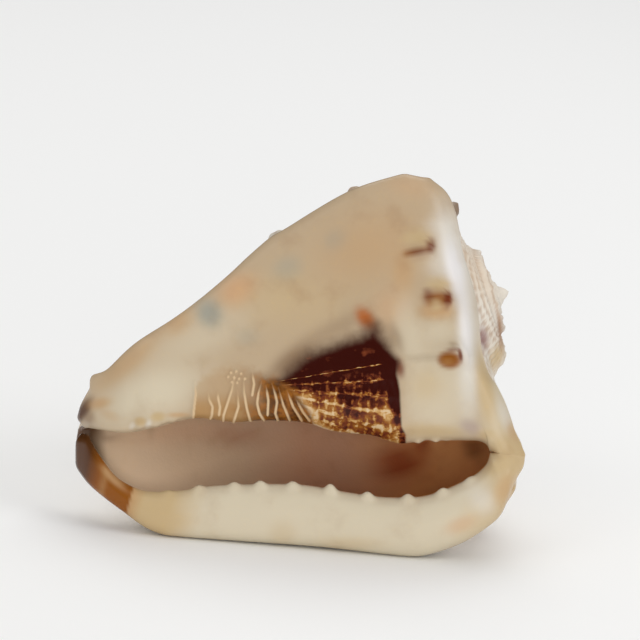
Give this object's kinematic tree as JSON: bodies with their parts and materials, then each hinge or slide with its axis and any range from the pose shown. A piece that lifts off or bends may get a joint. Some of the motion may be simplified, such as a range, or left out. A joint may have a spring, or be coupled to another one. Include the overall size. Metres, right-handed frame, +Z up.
{
  "type": "helmet sea shell",
  "caption": "Helmet sea shell with a broad glazed shield, a long toothed mouth, a thick turned-out lip, knobbed whorls and a low spire.",
  "frame": {"origin": "centre of the bounding box at its base, on the surface that the shell rests on", "axes": "+X from the canal end to the spire end, the longest way; +Y from the mouth side to the knobbed back; +Z up"},
  "size_m": [0.1648, 0.1132, 0.1359],
  "materials": {
    "shell": "glossy cream shell with tan and dark brown patches"
  },
  "bodies": {
    "root": {"helmet_shell": "shell"}
  },
  "joints": []
}
